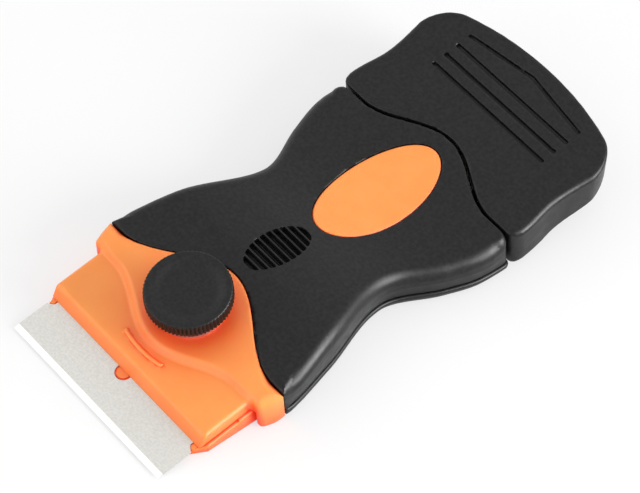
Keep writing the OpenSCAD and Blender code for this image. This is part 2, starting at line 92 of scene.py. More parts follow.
# Cap: its slanting underside, its rounded rear and its grooves
KEEL_Y, KEEL_H, KEEL_LEN, KEEL_BEND = 79.2, 6.6, 26.5, 0.25
REAR_R, REAR_LEAN_X = 61.0, 17.0
CORNER_R, CORNER_GROWTH, CORNER_DROP = 5.0, 1.4, 8.0
CAP_WIDEST_Y, CAP_DEEPEST = 96.35, 12.0
GROOVES = (91.5, 94.4, 97.3)
GROOVE_HALF, GROOVE_W, GROOVE_DEPTH, GROOVE_END_R, GROOVE_RIM_R = 14.6, 0.9, 0.7, 0.3, 0.22
CHEVRON_Y, CHEVRON_RISE = 100.2, 2.1

# Tray, the cap's socket that holds it, and the spare blades in it
TRAY_W, TRAY_Z, TRAY_H, TRAY_WALL, TRAY_END = 19.7, 3.8, 2.9, 1.1, 88.24
SOCKET_DEPTH = 2.6
SPARES = 5

# Keeps a division by a length clear of zero
TINY = 1e-9


def ease(t):
    """From 0 to 1 with a level start and end."""
    return t * t * (3 - 2 * t)


def fade(v, start, length):
    """From 0 at the start to 1 a length further on."""
    return np.clip((v - start) / length, 0, 1)


def hermite(stations):
    """The smooth curve through (place, value) stations, as a function."""
    s = stations
    margin, samples = 4, 1500

    def lean(i):
        a, b = s[max(i - 1, 0)], s[min(i + 1, len(s) - 1)]
        return (b[1] - a[1]) / (b[0] - a[0])

    def at(t):
        i = 0
        while i < len(s) - 2 and t >= s[i + 1][0]:
            i += 1
        h = s[i + 1][0] - s[i][0]
        u = (t - s[i][0]) / h
        rise = s[i][1] * (1 - ease(u)) + s[i + 1][1] * ease(u)
        return rise + h * lean(i) * u * (1 - u) ** 2 - h * lean(i + 1) * u * u * (1 - u)

    places = np.linspace(s[0][0] - margin, s[-1][0] + margin, samples)
    values = np.array([at(t) for t in places])
    return lambda t: np.interp(t, places, values)


def head_z(y):
    """Height of the collar's top."""
    return EDGE_Z + COLLAR_H / math.cos(PITCH) + y * math.tan(PITCH)


# Half widths of the handle and the cap, and the height of their tops, along the object
handle_side = hermite([(18.5, 21.8), (24, 23.1), (37, 20.3), (52.8, 16.05), (64, 20.35), (71, 22.35),
                       (83.3, 22.6)])
cap_side = hermite([(76.2, 22.0), (79.2, 23.15), (87.5, 22.3), (CAP_WIDEST_Y, 23.2)])
top_z = hermite([(0, head_z(0)), (28, head_z(28)), (38, 11.3), (62, 9.0), (86, 11.8), (LENGTH, 15.4)])


def thumb(x, y):
    """Depth of the shallow hollow for the thumb round the oval."""
    depth, half, mid, reach = THUMB
    across = np.clip(1 - (x / half) ** 2, 0, 1)
    along = np.clip(1 - ((y - mid) / reach) ** 2, 0, 1)
    return depth * ease(across) * ease(along)


# Distance fields: negative inside, rounded where two of them meet
def meet(a, b, r):
    """Intersection with a fillet of radius r."""
    u, v = np.maximum(a + r, 0), np.maximum(b + r, 0)
    return np.minimum(-r, np.maximum(a, b)) + np.sqrt(u * u + v * v)


def join(a, b, r):
    """Union with a fillet of radius r."""
    u, v = np.maximum(r - a, 0), np.maximum(r - b, 0)
    return np.maximum(r, np.minimum(a, b)) - np.sqrt(u * u + v * v)


def cut(a, b, r):
    """a without b, its new edge rounded by r."""
    return meet(a, -b, r)


def slab(v, lo, hi):
    """Between two parallel planes."""
    return np.maximum(lo - v, v - hi)


def wave(x, y, line, shift=0.0):
    """Distance ahead of a seam line that swells in the middle."""
    base, bulge, half = line
    turn = np.pi / 2 * np.clip(np.abs(x) / half, 0, 2)
    swell = (1 + np.cos(turn)) / 2
    slope = bulge * np.pi / (4 * half) * np.sin(turn)
    return (base + bulge * swell - y) / np.sqrt(1 + slope * slope) + shift


def ellipse(x, y, a, b):
    q = np.sqrt((x / a) ** 2 + (y / b) ** 2) + TINY
    g = np.sqrt((x / a ** 2) ** 2 + (y / b ** 2) ** 2) + TINY
    return (q - 1) * q / g


def to_head(y, z):
    c, s = math.cos(PITCH), math.sin(PITCH)
    return y * c + (z - EDGE_Z) * s, -y * s + (z - EDGE_Z) * c


def from_head(y, z):
    c, s = math.cos(PITCH), math.sin(PITCH)
    return y * c - z * s, EDGE_Z + y * s + z * c


def tilt(points):
    """Head-frame points to the resting frame."""
    points = np.array(points, float)
    points[:, 1], points[:, 2] = from_head(points[:, 1].copy(), points[:, 2].copy())
    return points


def cap_frame(y, z):
    """Place along the cap, whose walls stand square to its pitched top."""
    return y - np.clip(top_z(y) - z, 0, CAP_DEEPEST) * math.tan(PITCH)


def handle_walls(x, y, z, inset=0.0, lean=0.0):
    """The handle's sides, its front seam and its rear seam."""
    yh, _ = to_head(y, z)
    side = np.abs(x) - handle_side(y) + inset + lean * np.abs(z - PARTING)
    return side, wave(x, yh, SEAM, inset), -wave(x, cap_frame(y, z), CAP_SEAM, -inset)


def shell_room(x, y, z, lid):
    """The hollow of a shell up to its lid, less the screw bosses."""
    side, front, rear = handle_walls(x, y, z, WALL)
    room = np.maximum(np.maximum(side, np.maximum(front, rear)), lid)
    for px, py in SCREWS:
        room = np.maximum(room, BOSS_R - np.hypot(x - px, y - py))
    return room


def tray_mouth(x, y, z):
    """The way out through the handle's rear wall for the tray."""
    across = np.abs(x) - TRAY_W / 2 - SLIDE_GAP
    upright = slab(z, TRAY_Z - SLIDE_GAP, TRAY_Z + TRAY_H + SLIDE_GAP)
    return np.maximum(np.maximum(across, upright), MOUTH_Y - y)


def oval_recess(x, y, z):
    a, b, mid, depth = OVAL
    floor = top_z(y) - thumb(x, y) - depth
    return np.maximum(ellipse(x, y - mid, a + OVAL_GAP, b + OVAL_GAP), floor - z)


def grip_slots(x, y, z):
    """Slots across an oval field, with a thin ridge between each two."""
    a, b, mid, depth = SLOTS
    pitch = 2 * b / SLOT_COUNT
    band = np.abs((y - mid) % pitch - pitch / 2) - (pitch - SLOT_RIDGE) / 2
    return np.maximum(meet(ellipse(x, y - mid, a, b), band, SLOT_END_R), top_z(y) - depth - z)


def upper_shell(x, y, z):
    seam_r, rear_r, rim_r, flank_r, parting_r, crease_r, slot_r = 0.35, 1.6, 0.3, 2.2, 0.2, 0.12, 0.1
    flank_span, swell_h, swell_l = (-2.0, 4.0), 3.0, 4.0
    side, front, rear = handle_walls(x, y, z)
    ends = np.maximum(front, rear)
    flank = fade(side - ends, *flank_span)
    side = side - FLANK_SWELL * fade(z, PARTING, swell_h) * fade(-ends, 0.0, swell_l)
    side = np.maximum(side, np.abs(x) - HALF_W)
    top = z - top_z(y) + thumb(x, y)
    body = meet(meet(meet(side, front, seam_r), rear, rear_r), top, rim_r + flank_r * flank)
    body = meet(body, PARTING + FACE_GAP - z, parting_r)
    body = cut(body, np.maximum(-side - PARTING_GROOVE, z - PARTING - PARTING_GROOVE), crease_r)
    body = np.maximum(body, -shell_room(x, y, z, z - top_z(y) + ROOF))
    body = np.maximum(body, -tray_mouth(x, y, z))
    body = cut(body, oval_recess(x, y, z), crease_r)
    return cut(body, grip_slots(x, y, z), slot_r)


def lower_shell(x, y, z):
    seam_r, rear_r, lip_r, recess_r = 0.35, 1.2, 0.4, 0.15
    base_r = np.interp(y, (40, 50), (2.1, 2.35))
    side, front, rear = handle_walls(x, y, z, lean=LOWER_LEAN)
    side = np.maximum(side - LIP, np.abs(x) - HALF_W)
    body = meet(meet(meet(side, front, seam_r), rear, rear_r), -z, base_r)
    body = meet(body, z - PARTING + FACE_GAP, lip_r)
    body = np.maximum(body, -shell_room(x, y, z, FLOOR - z))
    for px, py in SCREWS:
        recess = np.maximum(np.hypot(x - px, y - py) - RECESS_R, z - RECESS_DEPTH)
        body = cut(body, recess, recess_r)
    return body


def cap_faces(x, y, z, inset, lift):
    """The cap's walls, top and slanting underside, moved inwards by the inset and the lift."""
    along = cap_frame(y, z)
    half = np.minimum(cap_side(np.minimum(along, CAP_WIDEST_Y)), HALF_W)
    side = np.abs(x) - half + inset
    lean = fade(np.abs(x), 0.0, REAR_LEAN_X) ** 2
    rear = np.hypot(x, y + (along - y) * lean - LENGTH + REAR_R) - REAR_R + inset
    top = z - top_z(y) + inset
    walls = meet(side, rear, CORNER_R - inset + CORNER_GROWTH * fade(-top, 0.0, CORNER_DROP))
    t = np.maximum(y - KEEL_Y, 0) / KEEL_LEN
    rise = KEEL_H * t * (1 + KEEL_BEND - KEEL_BEND * t)
    keel = (rise + lift - z) / math.hypot(1, KEEL_H / KEEL_LEN)
    return walls, top, keel


def cap_room(x, y, z):
    """The cap's hollow, less the socket round the tray's end."""
    walls, ceiling, floor = cap_faces(x, y, z, WALL, FLOOR)
    room = np.maximum(np.maximum(walls, ceiling), floor)
    across = np.abs(x) - TRAY_W / 2
    socket = np.maximum(across - TRAY_WALL, slab(y, TRAY_END - SOCKET_DEPTH, TRAY_END + TRAY_WALL))
    socket = np.maximum(socket, z - TRAY_Z - TRAY_H - TRAY_WALL)
    pocket = np.maximum(across - SEAT_GAP, y - TRAY_END - SEAT_GAP)
    pocket = np.maximum(pocket, slab(z, TRAY_Z - SEAT_GAP, TRAY_Z + TRAY_H + SEAT_GAP))
    return np.maximum(room, -np.maximum(socket, -pocket))


def rear_cap(x, y, z):
    """The cap. Its edges are sharper at the seam, softer along the walls, and change towards the end."""
    ear_r, toe_r = 1.1, 1.1
    top_r, top_soft, top_end = 0.35, 0.75, -0.45
    keel_r, keel_soft, keel_end = 0.5, 0.6, 1.2
    wall_span, end_span, toe_span = (-1.5, 3.0), (93.0, 8.0), (-86.0, 4.4)
    walls, top, keel = cap_faces(x, y, z, 0.0, 0.0)
    front = wave(x, cap_frame(y, z), CAP_SEAM, CAP_GAP)
    wall = fade(walls - front, *wall_span)
    end = fade(y, *end_span)
    toe = fade(-y, *toe_span)
    body = meet(walls, front, ear_r)
    body = meet(body, top, top_r + (top_soft + top_end * end) * wall)
    body = meet(body, keel, keel_r + (keel_soft + keel_end * end) * wall + toe_r * toe)
    body = np.maximum(body, -cap_room(x, y, z))
    chevron = CHEVRON_Y + CHEVRON_RISE * (1 - np.abs(x) / GROOVE_HALF)
    for line in GROOVES + (chevron,):
        mark = meet(np.abs(x) - GROOVE_HALF, np.abs(y - line) - GROOVE_W / 2, GROOVE_END_R)
        body = cut(body, np.maximum(mark, top_z(y) - GROOVE_DEPTH - z), GROOVE_RIM_R)
    return body


def jaw_plate(x, yh, zh):
    """The plate over the blade, with its sloping nose."""
    side_r, top_r, end_r, overlap = 0.5, 0.45, 0.35, 1.0
    end_span = (17.0, 2.0)
    nose = ((UPPER_REACH - yh) * PLATE_T + zh * PLATE_SLOPE) / math.hypot(PLATE_T, PLATE_SLOPE)
    plate = meet(np.abs(x) - PLATE_HALF, nose, side_r)
    plate = meet(plate, zh - PLATE_T, top_r + end_r * fade(np.abs(x), *end_span))
    return np.maximum(np.maximum(plate, FACE_GAP - zh), yh - COLLAR[0] - overlap)


def jaw_collar(x, y, z):
    """The raised collar round the knob, softer along its front and at its ends."""
    front_r, seam_r, rim_r, soft_r, end_r = 0.7, 0.12, 0.3, 0.8, 0.5
    soft_span, end_span = (-SEAM[0] - 1, 2.0), (18.0, 2.0)
    yh, zh = to_head(y, z)
    side = np.abs(x) - handle_side(y)
    behind = SEAM_GAP - wave(x, yh, SEAM)
    walls = meet(meet(side, wave(x, yh, COLLAR), front_r), behind, seam_r)
    soft = soft_r * fade(-yh, *soft_span) + end_r * fade(np.abs(x), *end_span)
    return meet(walls, zh - COLLAR_H, rim_r + soft)


def jaw_wings(x, y, z, collar):
    """The collar's ends, which reach down beside the blade's seat and are chamfered at the foot."""
    inner_r, foot_r, fall, reach = 0.5, 0.3, 0.6, 0.8
    inner = np.maximum(SEAT_HALF + SLIDE_GAP - np.abs(x), WING_Z - z)
    chamfer = (WING_Z - z) * fall + (np.abs(x) - handle_side(y)) * reach + WING_CHAMFER
    return meet(meet(collar, inner, inner_r), chamfer, foot_r)


def arc_rib(x, yh, zh):
    top_r, root_r = 0.25, 0.1
    ring = np.hypot(x, yh - RIB_Y) - RIB_R
    rib = np.maximum(np.abs(ring) - RIB_HALF_W, np.abs(x) - RIB_HALF_L)
    return meet(meet(rib, zh - PLATE_T - RIB_H, top_r), PLATE_T - RIB_ROOT - zh, root_r)


def upper_jaw(x, y, z):
    collar_r, rib_r = 0.7, 0.2
    yh, zh = to_head(y, z)
    collar = jaw_collar(x, y, z)
    body = join(jaw_plate(x, yh, zh), np.maximum(collar, FACE_GAP - zh), collar_r)
    body = np.minimum(body, jaw_wings(x, y, z, collar))
    body = join(body, arc_rib(x, yh, zh), rib_r)
    return np.maximum(body, STUD_HOLE_R - np.hypot(x, yh - KNOB_Y))


def blade_pegs(x, yh, zh):
    """The peg in the blade's hole and the lugs in its notches."""
    along = yh - BLADE_D / 2
    peg = np.hypot(x, along) - HOLE_R + PEG_GAP
    inward = BLADE_W / 2 - np.abs(x)
    notch = np.interp(inward, [depth for depth, _ in NOTCH], [half for _, half in NOTCH])
    lug = np.maximum(slab(inward, *LUG_X), np.abs(along) - notch + LUG_GAP)
    return np.maximum(np.minimum(peg, lug), slab(zh, *PEG_Z))


def seat_tang(x, y, z):
    """The tongue that the front shell screw holds."""
    tang = np.maximum(np.abs(x) - TANG_HALF, slab(y, *TANG_Y))
    tang = np.maximum(tang, slab(z, *TANG_Z))
    return np.maximum(tang, TANG_HOLE_R - np.hypot(x, y - SCREWS[0][1]))


def nut_pocket(x, yh, zh):
    flat = math.pi / 6
    along = np.abs(yh - KNOB_Y)
    hexagon = np.maximum(np.abs(x) * math.cos(flat) + along * math.sin(flat), along)
    return np.maximum(hexagon - NUT_HALF, zh - NUT_TOP)


def lower_jaw(x, y, z):
    front_r, edge_r, base_r = 0.4, 0.3, 0.5
    yh, zh = to_head(y, z)
    taper_w, taper_l = SEAT_TAPER
    side = np.abs(x) - SEAT_HALF
    corner = (side * taper_l + (LOWER_REACH + taper_l - yh) * taper_w) / math.hypot(taper_w, taper_l)
    behind = SEAT_GAP - wave(x, yh, SEAM)
    body = meet(meet(np.maximum(side, corner), LOWER_REACH - yh, front_r), behind, edge_r)
    top = np.where(yh < BLADE_D + SEAT_GAP, zh + BLADE_T, zh)
    body = meet(meet(body, top, edge_r), SEAT_Z - z, base_r)
    body = np.minimum(np.minimum(body, blade_pegs(x, yh, zh)), seat_tang(x, y, z))
    body = np.maximum(body, STUD_HOLE_R - np.hypot(x, yh - KNOB_Y))
    return np.maximum(body, -nut_pocket(x, yh, zh))


# Meshing of a distance field on a grid
def steps(spans, coarse):
    """Grid lines: each span is (start, end, spacing)."""
    lines = []
    for start, end, spacing in spans:
        count = max(2, int(round((end - start) / (spacing * coarse))) + 1)
        lines.append(np.linspace(start, end, count)[:-1])
    return np.concatenate(lines + [[spans[-1][1]]])


def square_to(value, points, reach):
    """Unit directions square to a field's surfaces at some points."""
    n = np.stack([value(points + d) - value(points - d) for d in np.eye(3) * reach], -1)
    return n / (np.linalg.norm(n, axis=1)[:, None] + TINY)


def root(value, start, end, f0, f1):
    """Share of the way from start to end where the field is zero, by false position and halving in turn."""
    rounds = 7
    t0, t1 = np.zeros(len(start)), np.ones(len(start))
    for turn in range(rounds):
        t = (t0 + t1) / 2 if turn % 2 else t0 + (t1 - t0) * f0 / (f0 - f1)
        ft = value(start + (end - start) * t[:, None])
        same = (ft < 0) == (f0 < 0)
        t0, f0 = np.where(same, t, t0), np.where(same, ft, f0)
        t1, f1 = np.where(same, t1, t), np.where(same, f1, ft)
    return (t0 + t1) / 2


def crossings(value, grid, f, axis):
    """Points where the field changes sign along an axis, the cells round each, and which face back."""
    inside = f < 0
    shape = np.array(f.shape) - 1
    lo, hi = [slice(None)] * 3, [slice(None)] * 3
    lo[axis], hi[axis] = slice(0, -1), slice(1, None)
    at = np.argwhere(inside[tuple(lo)] != inside[tuple(hi)])
    b, c = (axis + 1) % 3, (axis + 2) % 3
    at = at[(at[:, b] > 0) & (at[:, c] > 0) & (at[:, b] < shape[b]) & (at[:, c] < shape[c])]
    following = at.copy()
    following[:, axis] += 1
    here, there = tuple(at.T), tuple(following.T)
    start, end = grid[here], grid[there]
    share = root(value, start, end, f[here], f[there])
    around = []
    for db, dc in ((-1, -1), (0, -1), (0, 0), (-1, 0)):
        cell = at.copy()
        cell[:, b] += db
        cell[:, c] += dc
        around.append((cell[:, 0] * shape[1] + cell[:, 1]) * shape[2] + cell[:, 2])
    return start + (end - start) * share[:, None], np.stack(around, -1), ~inside[here]


def crease_points(points, normals, quads, count):
    """One point per cell, as near as can be to the planes of all the crossings round the cell."""
    stiffness = 0.03
    total = np.bincount(quads.ravel(), minlength=count).astype(float)

    def gather(weights):
        return np.bincount(quads.ravel(), weights=np.repeat(weights, 4), minlength=count)

    middle = np.stack([gather(points[:, k]) for k in range(3)], -1) / total[:, None]
    planes = np.empty((count, 3, 3))
    for i in range(3):
        for j in range(3):
            planes[:, i, j] = gather(normals[:, i] * normals[:, j])
    reach = np.einsum("ij,ij->i", normals, points)
    pull = np.stack([gather(normals[:, k] * reach) for k in range(3)], -1)
    rest = pull - np.einsum("nij,nj->ni", planes, middle)
    return middle + np.linalg.solve(planes + stiffness * np.eye(3), rest[..., None])[..., 0]


def contour(field, axes, tilted):
    """Points and quads on the zero surface of a distance field, and the direction that each point faces."""
    crossing_step, corner_step = 0.004, 0.02

    def value(p):
        y, z = from_head(p[..., 1], p[..., 2]) if tilted else (p[..., 1], p[..., 2])
        return field(p[..., 0], y, z)

    grid = np.stack(np.meshgrid(*axes, indexing="ij"), -1)
    f = value(grid)
    found = [crossings(value, grid, f, axis) for axis in range(3)]
    points, cells, turned = (np.concatenate(part) for part in zip(*found))
    ids, quads = np.unique(cells, return_inverse=True)
    quads = quads.reshape(cells.shape)
    verts = crease_points(points, square_to(value, points, crossing_step), quads, len(ids))
    cell = np.unravel_index(ids, tuple(n - 1 for n in f.shape))
    for k in range(3):
        verts[:, k] = np.clip(verts[:, k], axes[k][cell[k]], axes[k][cell[k] + 1])
    quads[turned] = quads[turned][:, ::-1]
    facing = square_to(value, verts, corner_step)
    if tilted:
        verts = tilt(verts)
        facing = tilt(facing) - (0, 0, EDGE_Z)
    return verts, quads, facing


def shade(mesh, facing, sharp):
    """Corner normals from the field, or the face's own where the two differ, as at a crease."""
    corner = np.empty(len(mesh.loops), int)
    mesh.loops.foreach_get("vertex_index", corner)
    sides = np.empty(len(mesh.polygons), int)
    mesh.polygons.foreach_get("loop_total", sides)
    flat = np.empty(len(mesh.polygons) * 3)
    mesh.polygons.foreach_get("normal", flat)
    flat = np.repeat(flat.reshape(-1, 3), sides, axis=0)
    smooth = facing[corner]
    near = np.einsum("ij,ij->i", flat, smooth) > math.cos(math.radians(sharp))
    mesh.normals_split_custom_set(np.where(near[:, None], smooth, flat).tolist())


def solid(name, verts, faces, body, node, materials, sharp=38, facing=None):
    """A mesh piece from points in millimetres, riding a body and standing for a CAD node."""
    verts = (np.asarray(verts, float) - (0, LENGTH / 2, 0)) * MM
    mesh = bpy.data.meshes.new(name)
    mesh.from_pydata(verts.tolist(), [], [tuple(int(i) for i in q) for q in faces])
    for finish in materials:
        mesh.materials.append(finish)
    mesh.validate()
    mesh.polygons.foreach_set("use_smooth", [True] * len(mesh.polygons))
    mesh.set_sharp_from_angle(angle=math.radians(sharp))
    if facing is not None:
        shade(mesh, facing, sharp)
    piece = bpy.data.objects.new(name, mesh)
    bpy.context.scene.collection.objects.link(piece)
    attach(piece, body)
    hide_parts(node)
    return piece


# Materials, with lengths in metres
# Reach of the painted shade that deepens the orange in hollows and under the knob
PAINTED_SHADE_REACH = 0.011
PLASTIC_RELIEF, METAL_RELIEF = 0.00004, 0.00002


def grey(v):
    return (v, v, v, 1)


def material(name, rough, metal=0.0, specular=0.5):
    m = bpy.data.materials.new(name)
    m.use_nodes = True
    shader = m.node_tree.nodes["Principled BSDF"]
    shader.inputs["Roughness"].default_value = rough
    shader.inputs["Metallic"].default_value = metal
    shader.inputs["Specular IOR Level"].default_value = specular
    return m, m.node_tree.nodes, m.node_tree.links, shader


def noise(nodes, links, scale, detail, stretch=(1, 1, 1)):
    coord = nodes.new("ShaderNodeTexCoord")
    mapping = nodes.new("ShaderNodeMapping")
    mapping.inputs["Scale"].default_value = stretch
    tex = nodes.new("ShaderNodeTexNoise")
    tex.inputs["Scale"].default_value = scale
    tex.inputs["Detail"].default_value = detail
    links.new(coord.outputs["Object"], mapping.inputs["Vector"])
    links.new(mapping.outputs["Vector"], tex.inputs["Vector"])
    return tex.outputs["Fac"]


def ramp(nodes, links, source, low, high, start=0.35, end=0.65):
    node = nodes.new("ShaderNodeValToRGB")
    node.color_ramp.elements[0].position = start
    node.color_ramp.elements[1].position = end
    node.color_ramp.elements[0].color = low
    node.color_ramp.elements[1].color = high
    links.new(source, node.inputs["Fac"])
    return node.outputs["Color"]


def bump(nodes, links, shader, source, strength, distance):
    node = nodes.new("ShaderNodeBump")
    node.inputs["Strength"].default_value = strength
    node.inputs["Distance"].default_value = distance
    links.new(source, node.inputs["Height"])
    links.new(node.outputs["Normal"], shader.inputs["Normal"])


def painted_hollow_shade(nodes, links, colour, painted_shade_colour):
    """Painted shade: the colour turns to a deeper red where ambient occlusion finds the surface closed in,
    in hollows, along seams and under other parts.
    """
    closed, clear, rays = 0.45, 0.96, 8
    reach = nodes.new("ShaderNodeAmbientOcclusion")
    reach.samples = rays
    reach.inputs["Distance"].default_value = PAINTED_SHADE_REACH
    mix = nodes.new("ShaderNodeMix")
    mix.data_type = "RGBA"
    links.new(ramp(nodes, links, reach.outputs["AO"], grey(0), grey(1), closed, clear), mix.inputs[0])
    # Inputs 6 and 7 and output 2 of the mix node are its colours
    mix.inputs[6].default_value = painted_shade_colour
    links.new(colour, mix.inputs[7])
    return mix.outputs[2]


def plastic(name, low, high, speck, rough, grain, strength, specular=0.5, painted_shade_colour=None):
    """Moulded plastic: specks of colour, uneven gloss, a fine spark-eroded grain and, where a shade colour
    is given, painted shade in hollows.
    """
    patches = 420
    m, nodes, links, shader = material(name, rough[0], specular=specular)
    colour = ramp(nodes, links, noise(nodes, links, speck, detail=4), low, high)
    # Painted shade: a deeper colour where ambient occlusion finds hollows
    if painted_shade_colour:
        colour = painted_hollow_shade(nodes, links, colour, painted_shade_colour)
    links.new(colour, shader.inputs["Base Color"])
    gloss = noise(nodes, links, patches, detail=4)
    links.new(ramp(nodes, links, gloss, grey(rough[0]), grey(rough[1])), shader.inputs["Roughness"])
    bump(nodes, links, shader, noise(nodes, links, grain, detail=2), strength, PLASTIC_RELIEF)
    return m


def metal(name, low, high, speck, rough, stretch, strength):
    """Steel with specks of tone and fine drawn lines."""
    drawn = 900
    m, nodes, links, shader = material(name, rough[0], metal=1.0)
    lines = noise(nodes, links, drawn, detail=5, stretch=stretch)
    cloud = noise(nodes, links, speck, detail=3)
    links.new(ramp(nodes, links, cloud, low, high), shader.inputs["Base Color"])
    links.new(ramp(nodes, links, lines, grey(rough[0]), grey(rough[1])), shader.inputs["Roughness"])
    bump(nodes, links, shader, lines, strength, METAL_RELIEF)
    return m


def let_light_in(m, weight, radius, scale):
    """Light that spreads a little way under the surface."""
    shader = m.node_tree.nodes["Principled BSDF"]
    shader.inputs["Subsurface Weight"].default_value = weight
    shader.inputs["Subsurface Radius"].default_value = radius
    shader.inputs["Subsurface Scale"].default_value = scale


black = plastic("black_plastic", low=grey(0.0035), high=grey(0.0105), speck=1500, rough=(0.33, 0.42),
                grain=2600, strength=0.3, specular=0.26)
knob_black = plastic("knob_plastic", low=grey(0.004), high=grey(0.011), speck=1800, rough=(0.38, 0.48),
                     grain=3000, strength=0.35, specular=0.26)
# Painted shade: the orange deepens to red in hollows, along seams and under the knob
orange = plastic("orange_plastic", low=(0.99, 0.31, 0.062, 1), high=(1.0, 0.335, 0.074, 1), speck=160,
                 rough=(0.36, 0.42), grain=3600, strength=0.1, painted_shade_colour=(1.0, 0.08, 0.018, 1))
let_light_in(orange, weight=0.3, radius=(1.0, 0.22, 0.06), scale=0.001)
steel = metal("blade_steel", low=(0.60, 0.59, 0.555, 1), high=(0.68, 0.67, 0.635, 1), speck=2400,
              rough=(0.42, 0.5), stretch=(1, 7, 7), strength=0.12)
ground = metal("ground_steel", low=(0.90, 0.90, 0.89, 1), high=(0.95, 0.95, 0.94, 1), speck=900,
               rough=(0.3, 0.4), stretch=(7, 1, 1), strength=0.1)
zinc = metal("zinc_steel", low=(0.55, 0.55, 0.54, 1), high=(0.66, 0.66, 0.64, 1), speck=700,
             rough=(0.32, 0.45), stretch=(3, 3, 3), strength=0.15)


def moulded(name, field, spans, body, node, finish, tilted=False):
    """A moulded piece, meshed from its field on the grid that its spans along X, Y and Z give."""
    coarse = 1.0
    axes = [steps(span, coarse) for span in spans]
    verts, quads, facing = contour(field, axes, tilted)
    solid(name, verts, quads, body, node, [finish], facing=facing)


def shells_and_cap():
    """The grids are finer across the slots, the parting line and the grooves."""
    top_grid = (((-23.8, -4.2, 0.5), (-4.2, 4.2, 0.3), (4.2, 23.8, 0.5)),
                ((22.2, 34.6, 0.5), (34.6, 49.2, 0.13), (49.2, 84.8, 0.5)),
                ((2.3, 3.6, 0.13), (3.6, 11.8, 0.3)))
    base_grid = (((-23.8, 23.8, 0.5),),
                 ((22.6, 85.2, 0.4),),
                 ((-0.4, 2.2, 0.2), (2.2, 3.0, 0.08)))
    cap_grid = (((-24, 24, 0.5),),
                ((75.8, 90.4, 0.45), (90.4, 103.4, 0.22), (103.4, 106.4, 0.5)),
                ((-0.5, 15.8, 0.35),))
    moulded("handle_top", upper_shell, top_grid, "handle", "upper_shell", black)
    moulded("handle_base", lower_shell, base_grid, "handle", "lower_shell", black)
    moulded("end_cap", rear_cap, cap_grid, "cap", "rear_cap", black)


def jaws():
    """The grids lie square to the pitched head."""
    plate_grid = (((-23.6, 23.6, 0.4),), ((8.2, 34.6, 0.3),), ((-6.4, 4.4, 0.25),))
    seat_grid = (((-20.9, 20.9, 0.38),), ((6.6, 46.0, 0.35),), ((-8.4, 0.6, 0.25),))
    moulded("clamp_plate", upper_jaw, plate_grid, "clamp", "upper_jaw", orange, True)
    moulded("blade_seat", lower_jaw, seat_grid, "handle", "lower_jaw", orange, True)


def loft(rings, start, end):
    """Points and faces of a closed form: rings of equal count, shut by a fan to a point at both ends."""
    n = len(rings[0])
    verts = [tuple(p) for ring in rings for p in ring] + [start, end]
    faces = []
    for k in range(len(rings) - 1):
        for i in range(n):
            j = (i + 1) % n
            faces.append((k * n + i, k * n + j, k * n + n + j, k * n + n + i))
    last = (len(rings) - 1) * n
    faces += [(last + i, last + (i + 1) % n, len(verts) - 1) for i in range(n)]
    faces += [((i + 1) % n, i, len(verts) - 2) for i in range(n)]
    return verts, faces


def oval_panel():
    """An oval that follows the handle's top, with a rounded rim."""
    sides, rim_r, rim_steps, sunk = 120, 0.35, 5, 0.05
    shares = (0.94, 0.84, 0.72, 0.58, 0.44, 0.3, 0.16)
    a, b, mid, depth = OVAL
    turns = np.linspace(0, 2 * np.pi, sides + 1)[:-1]
    edge = np.stack([a * np.cos(turns), b * np.sin(turns)], -1)
    out = np.stack([np.cos(turns) / a, np.sin(turns) / b], -1)
    out /= np.linalg.norm(out, axis=1)[:, None]

    def ring(plan, drop):
        y = plan[:, 1] + mid
        return np.stack([plan[:, 0], y, top_z(y) - thumb(plan[:, 0], y) - drop], -1)

    rings = [ring(edge, depth - sunk)]
    for k in range(rim_steps + 1):
        t = k / rim_steps * math.pi / 2
        rings.append(ring(edge - out * rim_r * (1 - math.cos(t)), sunk + rim_r * (1 - math.sin(t))))
    rings += [ring((edge - out * rim_r) * share, sunk) for share in shares]
    crown = float(top_z(mid) - thumb(0, mid))
    verts, faces = loft(rings, (0, mid, crown - depth + sunk), (0, mid, crown - sunk))
    solid("oval_panel", verts, faces, "handle", "oval_inlay", [orange])


def knob_profile():
    """Radius, height and depth of knurling, from the hub's foot out to the rim and in to the dish."""
    foot_r, foot_edge, root_r, root_mid = 2.1, 0.3, 0.5, 0.15
    rows, row_start, row_step = 6, 0.6, 0.42
    top_r, top_steps, knurl_end = 0.5, 8, 5
    dish_rim, dish_floor = 0.96, 0.6
    # The rim's lower edge: inset, rise and depth of knurling
    rim_edge = ((0.75, 0.0, 0), (0.35, 0.1, 0.4), (0.08, 0.35, 1))
    shares = (0.975, 0.95, 0.92, 0.88, 0.84, 0.79, 0.74, 0.69, 0.64, 0.55, 0.42, 0.26, 0.12)
    prof = [(foot_r, HUB_Z, 0), (HUB_R - foot_edge, HUB_Z, 0), (HUB_R, HUB_Z + foot_edge, 0),
            (HUB_R, RIM_Z - root_r, 0), (HUB_R + root_mid, RIM_Z - root_mid, 0), (HUB_R + root_r, RIM_Z, 0)]
    prof += [(KNOB_R - inset, RIM_Z + rise, cutting) for inset, rise, cutting in rim_edge]
    prof += [(KNOB_R, RIM_Z + row_start + row_step * k, 1) for k in range(rows)]
    inner = KNOB_R - top_r
    for k in range(1, top_steps + 1):
        t = k / top_steps * math.pi / 2
        height = KNOB_TOP - top_r + top_r * math.sin(t)
        prof.append((inner + top_r * math.cos(t), height, max(0, 1 - k / knurl_end)))
    for share in shares:
        t = min(1.0, (dish_rim - min(share, dish_rim)) / (dish_rim - dish_floor))
        prof.append((inner * share, KNOB_TOP - KNOB_DISH * ease(t), 0))
    return prof


